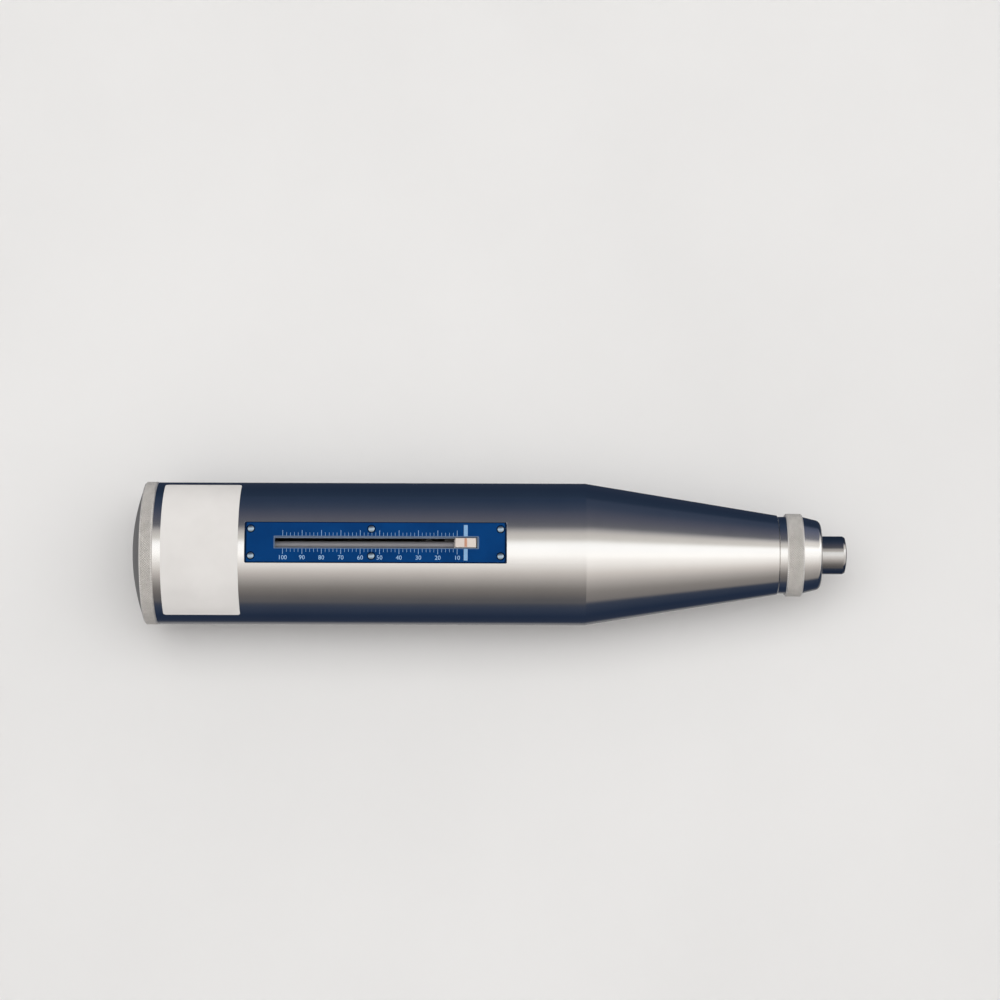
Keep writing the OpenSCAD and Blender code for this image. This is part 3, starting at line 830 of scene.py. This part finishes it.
def moulded_plastic(name, light, dark, shine):
    """Moulded plastic: slightly clouded, with the fine grain of the mould."""
    finish, shader, put, join = start_finish(name)
    shader.inputs["Specular IOR Level"].default_value = 0.35
    place = put("TexCoord")
    cloud = put("TexNoise", Scale=240.0, Detail=3.0)
    grain = put("TexNoise", Scale=5200.0, Detail=2.0)
    tone = two_tones(put, dark, light, 0.35, 0.65)
    gloss = spread(put, *shine)
    relief = put("Bump", Strength=0.08, Distance=0.00003)
    join(place.outputs["Object"], cloud.inputs["Vector"])
    join(place.outputs["Object"], grain.inputs["Vector"])
    join(cloud.outputs["Fac"], tone.inputs["Fac"])
    join(tone.outputs["Color"], shader.inputs["Base Color"])
    join(grain.outputs["Fac"], gloss.inputs["Value"])
    join(gloss.outputs["Result"], shader.inputs["Roughness"])
    join(grain.outputs["Fac"], relief.inputs["Height"])
    join(relief.outputs["Normal"], shader.inputs["Normal"])
    return finish


rider_white = moulded_plastic("rider_white", (0.70, 0.63, 0.58), (0.65, 0.58, 0.535), (0.4, 0.5))
rider_mesh = bmesh.new()
rider_levels = [
    (carrier_half_len, carrier_half, carrier_corner, carrier_low),
    (carrier_half_len, carrier_half, carrier_corner, carrier_high - rider_bevel),
    (carrier_half_len - rider_bevel, carrier_half - rider_bevel, carrier_corner, carrier_high),
    (block_half_len, block_half, block_corner, carrier_high),
    (block_half_len, block_half, block_corner, block_top - rider_bevel),
    (block_half_len - rider_bevel, block_half - rider_bevel, block_top_corner, block_top),
]
rider_loops = [
    corner_loop(rider_mesh, rest_x - half_len, rest_x + half_len, half, corner, z, 3)
    for half_len, half, corner, z in rider_levels
]
for first, second in zip(rider_loops, rider_loops[1:]):
    skin(rider_mesh, first, second)
rider_mesh.faces.new(rider_loops[0])
rider_mesh.faces.new(rider_loops[-1])
rider = make_piece("white_rider", rider_mesh, [rider_white], 30.0)
rod_hole_outline = [(rod_hole_rear, 0.0), (rod_hole_rear, rod_hole_r)]
rod_hole_outline += [(rod_hole_front, rod_hole_r), (rod_hole_front, 0.0)]
rod_hole = turn(rod_hole_outline, even_angles(40))
bmesh.ops.translate(rod_hole, vec=(0.0, 0.0, rod_z), verts=rod_hole.verts)
cut(rider, rod_hole, 30.0)
fit(rider, "rider", "white_plastic", "rider")
index_mesh = block(
    rest_x - index_half,
    rest_x + index_half,
    -block_half + index_inset,
    block_half - index_inset,
    block_top - index_sink,
    block_top + print_lift,
)
red_ink = printing_ink("index_red", (0.56, 0.30, 0.21), (0.48, 0.24, 0.16))
index_line = make_piece("index_line", index_mesh, [red_ink], 30.0)
fit(index_line, "rider", "")
rod_steel = turned_metal(
    "ground_rod_steel", (0.40, 0.385, 0.39), (0.345, 0.335, 0.34), (0.5, 0.6), 0.06, 0.5
)
refinish(rod_steel, "rider_rod")

# Label
# A white film label with rounded corners, stuck round the back of the barrel by its own glue. It is
# cut from a thin matt sheet and left blank.

label_rear = -247.3
label_front = -217.3
label_low_r = 28.02
label_top_r = 28.14
label_half_arc = math.radians(65.7)
label_turn = math.radians(-2.3)
label_corner = 1.2
label_columns = 120


def label_film(name):
    """Matt white film with a soft paper grain."""
    finish, shader, put, join = start_finish(name)
    shader.inputs["Specular IOR Level"].default_value = 0.25
    place = put("TexCoord")
    grain = put("TexNoise", Scale=900.0, Detail=6.0, Roughness=0.65)
    cloud = put("TexNoise", Scale=45.0, Detail=3.0)
    tone = two_tones(put, (0.73, 0.715, 0.70), (0.79, 0.775, 0.76), 0.35, 0.65)
    gloss = spread(put, 0.5, 0.62)
    relief = put("Bump", Strength=0.08, Distance=0.00004)
    join(place.outputs["Object"], grain.inputs["Vector"])
    join(place.outputs["Object"], cloud.inputs["Vector"])
    join(cloud.outputs["Fac"], tone.inputs["Fac"])
    join(tone.outputs["Color"], shader.inputs["Base Color"])
    join(grain.outputs["Fac"], gloss.inputs["Value"])
    join(gloss.outputs["Result"], shader.inputs["Roughness"])
    join(grain.outputs["Fac"], relief.inputs["Height"])
    join(relief.outputs["Normal"], shader.inputs["Normal"])
    return finish


label_mesh = bmesh.new()
corner_arc = label_corner / label_top_r
corner_turns = [0.0, 0.03, 0.1, 0.2, 0.35, 0.55, 0.8]
ends = [label_half_arc - corner_arc * t for t in corner_turns]
middle = label_half_arc - corner_arc
inner = [middle * (1 - 2 * k / label_columns) for k in range(label_columns + 1)]
label_angles = ends + inner + [-a for a in reversed(ends)]
label_rows = []
for a in label_angles:
    into = max(0.0, 1.0 - (label_half_arc - abs(a)) / corner_arc)
    inset = label_corner * (1.0 - math.sqrt(max(0.0, 1.0 - into**2)))
    spots = [(label_rear + inset, label_low_r), (label_rear + inset, label_top_r)]
    spots += [(label_front - inset, label_top_r), (label_front - inset, label_low_r)]
    across = math.sin(a + label_turn)
    high = math.cos(a + label_turn)
    label_rows.append([label_mesh.verts.new((x, r * across, r * high)) for x, r in spots])
for first, second in zip(label_rows, label_rows[1:]):
    skin(label_mesh, first, second)
label_mesh.faces.new(label_rows[0])
label_mesh.faces.new(label_rows[-1])
label = make_piece("blank_label", label_mesh, [label_film("label_white")], 30.0)
fit(label, "housing", "label_paper", "label")

# Lock button and its bush
# A black moulded button on the underside locks the plunger when it is pressed in. A blackened
# steel bush, screwed into the spot face, carries it, and a clip and a small spring hold it up.

bush_low = 24.5
bush_r = 5.5
stem_hole_r = 2.55
flange_top = 29.6
flange_r = 7.0
head_hole_floor = 25.7
head_hole_r = 4.6
notch_floor = 28.9
notch_top = 31.0
notch_half_len = 9.0
notch_half = 0.7
stem_low = 22.8
stem_r = 2.5
hollow_r = 3.7
hollow_top = 31.6
hollow_step = 0.2
head_rim = 29.0
head_top = 33.0
head_r = 4.5
crown_drops = [(0.35, head_r, 0.6), (0.1, 2.2, 0), (0.02, 1.0, 0), (0.0, 0.0, 0)]


def blackened_steel(name):
    """Blackened steel: oiled, dark, and rubbed a little brighter in patches."""
    finish, shader, put, join = start_finish(name)
    shader.inputs["Metallic"].default_value = 0.85
    place = put("TexCoord")
    rubbed = put("TexNoise", Scale=420.0, Detail=5.0, Roughness=0.62)
    tone = two_tones(put, (0.035, 0.036, 0.04), (0.11, 0.11, 0.115), 0.4, 0.75)
    gloss = spread(put, 0.48, 0.34)
    relief = put("Bump", Strength=0.1, Distance=0.00003)
    join(place.outputs["Object"], rubbed.inputs["Vector"])
    join(rubbed.outputs["Fac"], tone.inputs["Fac"])
    join(tone.outputs["Color"], shader.inputs["Base Color"])
    join(rubbed.outputs["Fac"], gloss.inputs["Value"])
    join(gloss.outputs["Result"], shader.inputs["Roughness"])
    join(rubbed.outputs["Fac"], relief.inputs["Height"])
    join(relief.outputs["Normal"], shader.inputs["Normal"])
    return finish


dark_steel = blackened_steel("blackened_steel")
button_black = moulded_plastic(
    "button_black", (0.022, 0.022, 0.023), (0.015, 0.015, 0.016), (0.28, 0.4)
)
bush_points = [
    (bush_low, stem_hole_r, 0.2),
    (bush_low, bush_r, 0.3),
    (spot_face, bush_r, 0),
    (spot_face, flange_r, 0),
    (flange_top, flange_r, 0.5),
    (flange_top, head_hole_r, 0.15),
    (head_hole_floor, head_hole_r, 0),
    (head_hole_floor, stem_hole_r, 0),
]
bush_mesh = to_button(turn(ease(bush_points), even_angles(96)))
bush = make_piece("button_bush_turned", bush_mesh, [dark_steel], 25.0)
for quarter in (0.0, 90.0):
    notch = block(notch_floor, notch_top, -notch_half_len, notch_half_len, -notch_half, notch_half)
    turned = Matrix.Rotation(math.radians(quarter), 3, "X")
    bmesh.ops.rotate(notch, matrix=turned, verts=notch.verts)
    cut(bush, to_button(notch), 25.0)
fit(bush, "housing", "dark_steel", "button_bush")
button_points = [
    (stem_low, 0.0, 0),
    (stem_low, stem_r, 0.3),
    (hollow_top - hollow_step, stem_r, 0),
    (hollow_top, hollow_r, 0),
    (head_rim, hollow_r, 0.2),
    (head_rim, head_r, 0.2),
]
button_points += [(head_top - drop, r, fillet) for drop, r, fillet in crown_drops]
button_mesh = to_button(turn(ease(button_points), even_angles(72)))
button = make_piece("lock_button", button_mesh, [button_black], 30.0)
fit(button, "button", "black_plastic", "button")
clip_steel = turned_metal(
    "clip_spring_steel", (0.46, 0.45, 0.45), (0.34, 0.335, 0.335), (0.26, 0.4)
)
refinish(clip_steel, "button_clip", "rider_finger")

# Plunger
# The hardened steel rod that is pressed on the concrete, ground bright, with a rounded tip. It
# slides in the bronze sleeve, and the guide bar runs in its bore.

plunger_rear = -82.9
plunger_tip = 21.3
plunger_r = 7.5
bar_bore_r = 4.05
bar_bore_front = -28.9
tip_ball = 25.0
tip_steps = 10
tip_chamfer = 0.9
tip_break = 0.05
tip_edge = plunger_r - edge
tip_sag = tip_ball - math.sqrt(tip_ball**2 - tip_edge**2)
plunger_points = [
    (plunger_rear, bar_bore_r),
    (plunger_rear, plunger_r - edge),
    (plunger_rear + edge, plunger_r),
    (plunger_tip - tip_sag - tip_chamfer, plunger_r),
    (plunger_tip - tip_sag - tip_break, tip_edge + tip_break),
]
plunger_points += ball_cap(plunger_tip, tip_ball, tip_edge, tip_steps, 1)
plunger_points += [(bar_bore_front, 0.0), (bar_bore_front, bar_bore_r)]
ground_steel = turned_metal("ground_steel", (0.57, 0.56, 0.55), (0.52, 0.51, 0.50), (0.08, 0.13))
plunger = make_piece("ground_plunger", turn(plunger_points, even_angles(128)), [ground_steel], 20.0)
fit(plunger, "plunger", "bright_steel", "impact_plunger")

# Hammer mass, guide bar and pawl
# The steel mass slides on the guide bar. The disk on the bar's end carries the hooked pawl, which
# draws the mass back until the screw in the rear cover trips it.

mass_steel = turned_metal(
    "turned_mass_steel", (0.58, 0.58, 0.59), (0.48, 0.48, 0.49), (0.24, 0.36), 0.1
)
refinish(mass_steel, "hammer_mass", "guide_disk")
refinish(ground_steel, "guide_bar", "pawl_pin")
refinish(dark_steel, "pawl", "trip_screw", "trip_lock_nut")

# Springs
# Five coil springs of drawn steel wire: one pushes the plunger out, one drives the mass, one
# cushions the plunger on its bar, and two small ones work the pawl and the button.

wire_sides = 10
turn_steps = 28
pawl_coil_z = -6.0


def drawn_wire(name):
    """Drawn spring wire: grey, with a thin film of oil."""
    finish, shader, put, join = start_finish(name)
    shader.inputs["Metallic"].default_value = 1.0
    place = put("TexCoord")
    film = put("TexNoise", Scale=700.0, Detail=4.0, Roughness=0.6)
    tone = two_tones(put, (0.30, 0.295, 0.29), (0.46, 0.455, 0.45), 0.35, 0.65)
    gloss = spread(put, 0.24, 0.4)
    relief = put("Bump", Strength=0.08, Distance=0.00002)
    join(place.outputs["Object"], film.inputs["Vector"])
    join(film.outputs["Fac"], tone.inputs["Fac"])
    join(tone.outputs["Color"], shader.inputs["Base Color"])
    join(film.outputs["Fac"], gloss.inputs["Value"])
    join(gloss.outputs["Result"], shader.inputs["Roughness"])
    join(film.outputs["Fac"], relief.inputs["Height"])
    join(relief.outputs["Normal"], shader.inputs["Normal"])
    return finish


def wind(x0, x1, r, wire, turns):
    """A coil of round wire about X, from x0 to x1, with its two ends closed."""
    bm = bmesh.new()
    steps = turns * turn_steps
    loops = []
    for i in range(steps + 1):
        t = i / steps
        a = math.tau * turns * t
        x = x0 + wire / 2 + (x1 - x0 - wire) * t
        loop = []
        for k in range(wire_sides):
            b = math.tau * k / wire_sides
            radius = r + wire / 2 * math.cos(b)
            along = x + wire / 2 * math.sin(b)
            loop.append(bm.verts.new((along, radius * math.sin(a), radius * math.cos(a))))
        loops.append(loop)
    for first, second in zip(loops, loops[1:]):
        skin(bm, first, second)
    bm.faces.new(loops[0])
    bm.faces.new(loops[-1])
    return bm


spring_wire = drawn_wire("drawn_spring_wire")
return_mesh = wind(x0=-252.0, x1=-227.5, r=15.5, wire=1.8, turns=8)
return_coil = make_piece("return_coil", return_mesh, [spring_wire], 40.0)
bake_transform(return_coil)
impact_mesh = wind(x0=-95.1, x1=-26.2, r=11.6, wire=1.8, turns=14)
impact_coil = make_piece("impact_coil", impact_mesh, [spring_wire], 40.0)
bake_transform(impact_coil)
buffer_mesh = wind(x0=-40.8, x1=-29.0, r=3.3, wire=0.8, turns=6)
buffer_coil = make_piece("buffer_coil", buffer_mesh, [spring_wire], 40.0)
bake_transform(buffer_coil)
pawl_mesh = wind(x0=-231.8, x1=-227.5, r=1.2, wire=0.4, turns=4)
bmesh.ops.translate(pawl_mesh, vec=(0.0, 0.0, pawl_coil_z), verts=pawl_mesh.verts)
pawl_coil = make_piece("pawl_coil", pawl_mesh, [spring_wire], 40.0)
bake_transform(pawl_coil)
button_coil_mesh = to_button(wind(x0=25.8, x1=31.5, r=3.0, wire=0.6, turns=4))
button_coil = make_piece("button_coil", button_coil_mesh, [spring_wire], 40.0)
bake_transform(button_coil)
for coil, node in (
    (return_coil, "compression_spring"),
    (impact_coil, "impact_spring"),
    (buffer_coil, "buffer_spring"),
    (pawl_coil, "pawl_spring"),
    (button_coil, "button_spring"),
):
    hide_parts(node)

# Floor, light and camera
# The hammer lies on a plain pale sweep, under a long soft light with darker surroundings, and the
# camera looks down on it from just off the line of the scale plate.

floor_z = -28.2
floor_r = 2400.0
sweep_bend = 800.0
sweep_steps = 12
sweep_top = 3000.0
front_start = 0.42
front_bend = 0.4
glow_x = 0.35
glow_fall = 3.0
near_gain = -0.25
far_x = 0.36
far_rise = 12.0
far_gain = 0.8
light_back = 0.25
light_high = 1.3
camera_lean = math.radians(10.2)
camera_tilt = math.radians(0.19)
camera_distance = 1187.4
aim_x = -115.9
aim_rise = 21.45

sweep_mesh = bmesh.new()
sweep_points = [(0.0, 0.0), (floor_r / 8, 0.0), (floor_r / 2, 0.0), (floor_r, 0.0)]
for k in range(1, sweep_steps + 1):
    a = math.pi / 2 * k / sweep_steps
    sweep_points.append((floor_r + sweep_bend * math.sin(a), sweep_bend * (1 - math.cos(a))))
sweep_points.append((floor_r + sweep_bend, sweep_top))
sweep_rings = []
for r, height in sweep_points:
    if r == 0.0:
        sweep_rings.append([sweep_mesh.verts.new((0.0, 0.0, floor_z))])
        continue
    around = [(r * math.cos(a), r * math.sin(a), floor_z + height) for a in even_angles(96)]
    sweep_rings.append([sweep_mesh.verts.new(spot) for spot in around])
for first, second in zip(sweep_rings, sweep_rings[1:]):
    skin(sweep_mesh, first, second)


def studio_paper(name):
    """Pale, matt background paper."""
    finish, shader, put, join = start_finish(name)
    shader.inputs["Roughness"].default_value = 0.9
    shader.inputs["Specular IOR Level"].default_value = 0.1
    place = put("TexCoord")
    cloud = put("TexNoise", Scale=6.0, Detail=3.0)
    tone = two_tones(put, (0.80, 0.80, 0.80), (0.83, 0.83, 0.83), 0.35, 0.65)
    join(place.outputs["Object"], cloud.inputs["Vector"])
    join(cloud.outputs["Fac"], tone.inputs["Fac"])
    join(tone.outputs["Color"], shader.inputs["Base Color"])
    return finish


sweep = make_piece("studio_sweep", sweep_mesh, [studio_paper("studio_paper")], 60.0)
sweep.visible_glossy = False
sweep.visible_shadow = False

world = bpy.data.worlds.new("soft_studio")
bpy.context.scene.world = world
world.use_nodes = True
sky = world.node_tree
sky_place = sky.nodes.new("ShaderNodeTexCoord")
sky_parts = sky.nodes.new("ShaderNodeSeparateXYZ")
sky.links.new(sky_place.outputs["Generated"], sky_parts.inputs["Vector"])


def sky_math(operation, first, second=0.0):
    """One step of arithmetic on the sky's direction."""
    step = sky.nodes.new("ShaderNodeMath")
    step.operation = operation
    for socket, value in zip(step.inputs, (first, second)):
        if isinstance(value, float):
            socket.default_value = value
        else:
            sky.links.new(value, socket)
    return step.outputs["Value"]


def sky_band(stops):
    """Colours across the sky, by the angle in degrees off the plane through the tool's axis."""
    ramp = sky.nodes.new("ShaderNodeValToRGB")
    past_start = sky_math("SUBTRACT", sky_parts.outputs["X"], front_start)
    front_turn = sky_math("MULTIPLY", sky_math("MAXIMUM", past_start, 0.0), front_bend)
    lean_angle = sky_math("SUBTRACT", sky_math("ARCSINE", sky_parts.outputs["Y"]), front_turn)
    share = sky_math("MULTIPLY_ADD", lean_angle, 1.0 / math.pi)
    share.node.inputs[2].default_value = 0.5
    sky.links.new(share, ramp.inputs["Fac"])
    marks = ramp.color_ramp.elements
    for k, (degrees, red, green, blue) in enumerate(stops):
        place = (degrees + 90.0) / 180.0
        mark = marks[k] if k < 2 else marks.new(place)
        mark.position = place
        mark.color = (red, green, blue, 1.0)
    return ramp.outputs["Color"]


soft_box = sky_band([
    (-90.0, 0.075, 0.077, 0.086),
    (-78.0, 0.128, 0.119, 0.117),
    (-66.0, 0.185, 0.172, 0.163),
    (-52.0, 0.33, 0.31, 0.295),
    (-39.0, 0.51, 0.475, 0.45),
    (-26.0, 0.73, 0.705, 0.68),
    (-17.0, 0.86, 0.835, 0.81),
    (-11.0, 1.0, 0.985, 0.96),
    (4.0, 1.0, 1.0, 1.0),
    (9.0, 0.92, 0.915, 0.90),
    (15.0, 0.56, 0.54, 0.51),
    (25.0, 0.49, 0.465, 0.445),
    (29.0, 0.37, 0.36, 0.36),
    (36.0, 0.105, 0.108, 0.125),
    (54.0, 0.070, 0.075, 0.105),
    (70.0, 0.036, 0.049, 0.082),
    (90.0, 0.018, 0.032, 0.064),
])
surroundings = sky_band([
    (-90.0, 0.065, 0.068, 0.080),
    (-72.0, 0.031, 0.042, 0.070),
    (-50.0, 0.014, 0.024, 0.050),
    (-25.0, 0.020, 0.028, 0.050),
    (-12.0, 0.19, 0.19, 0.195),
    (12.0, 0.19, 0.19, 0.195),
    (25.0, 0.020, 0.028, 0.050),
    (60.0, 0.014, 0.024, 0.048),
    (90.0, 0.018, 0.032, 0.060),
])
horizon = sky.nodes.new("ShaderNodeMapRange")
horizon.interpolation_type = "SMOOTHSTEP"
horizon.inputs["From Min"].default_value = -0.17
horizon.inputs["From Max"].default_value = -0.03
sky.links.new(sky_parts.outputs["Z"], horizon.inputs["Value"])
off_glow = sky_math("ABSOLUTE", sky_math("SUBTRACT", sky_parts.outputs["X"], glow_x))
faded = sky_math("SUBTRACT", 1.0, sky_math("MULTIPLY", off_glow, glow_fall))
front_share = sky_math("MAXIMUM", faded, 0.0)
near_share = sky_math("MULTIPLY", sky_math("MINIMUM", sky_parts.outputs["Y"], 0.0), near_gain)
near_glow = sky_math("ADD", sky_math("MULTIPLY", front_share, near_share), 1.0)
past_front = sky_math("SUBTRACT", sky_parts.outputs["X"], far_x)
past_rise = sky_math("MULTIPLY", past_front, far_rise)
past_share = sky_math("MINIMUM", sky_math("MAXIMUM", past_rise, 0.0), 1.0)
far_share = sky_math("MULTIPLY", sky_math("MAXIMUM", sky_parts.outputs["Y"], 0.0), far_gain)
front_glow = sky_math("ADD", sky_math("MULTIPLY", past_share, far_share), near_glow)
above = sky.nodes.new("ShaderNodeVectorMath")
above.operation = "SCALE"
sky.links.new(soft_box, above.inputs["Vector"])
sky.links.new(front_glow, above.inputs["Scale"])
whole_sky = sky.nodes.new("ShaderNodeMix")
whole_sky.data_type = "VECTOR"
sky.links.new(horizon.outputs["Result"], whole_sky.inputs["Factor"])
sky.links.new(surroundings, whole_sky.inputs[4])
sky.links.new(above.outputs["Vector"], whole_sky.inputs[5])
sky.links.new(whole_sky.outputs[1], sky.nodes["Background"].inputs["Color"])
sky.nodes["Background"].inputs["Strength"].default_value = 1.25

key = bpy.data.lights.new("overhead_light", "AREA")
key.shape = "RECTANGLE"
key.size = 1.2
key.size_y = 0.8
key.energy = 5.0
key_light = bpy.data.objects.new("overhead_light", key)
bpy.context.scene.collection.objects.link(key_light)
key_light.location = (aim_x * MM, light_back, light_high)
key_light.rotation_mode = "QUATERNION"
light_down = Vector((0.0, -light_back, -light_high))
key_light.rotation_quaternion = light_down.to_track_quat("-Z", "Y")
key_light.visible_glossy = False

camera = bpy.data.cameras.new("photo_camera")
camera.sensor_width = 36.0
camera.lens = 108.0
camera.clip_end = 20.0
camera_stand = bpy.data.objects.new("photo_camera", camera)
bpy.context.scene.collection.objects.link(camera_stand)
view_back = Vector((0.0, -math.sin(camera_lean), math.cos(camera_lean)))
view_up = Vector((0.0, math.cos(camera_lean), math.sin(camera_lean)))
view_right = Vector((1.0, 0.0, 0.0))
right = view_right * math.cos(camera_tilt) + view_up * math.sin(camera_tilt)
up = view_back.cross(right)
turned_to = Matrix((right, up, view_back)).transposed().to_4x4()
aim = Vector((aim_x, 0.0, 0.0)) + view_up * aim_rise
stand_spot = (aim + view_back * camera_distance) * MM
camera_stand.matrix_world = Matrix.Translation(stand_spot) @ turned_to
bpy.context.scene.camera = camera_stand
bpy.context.scene.view_settings.view_transform = "Standard"
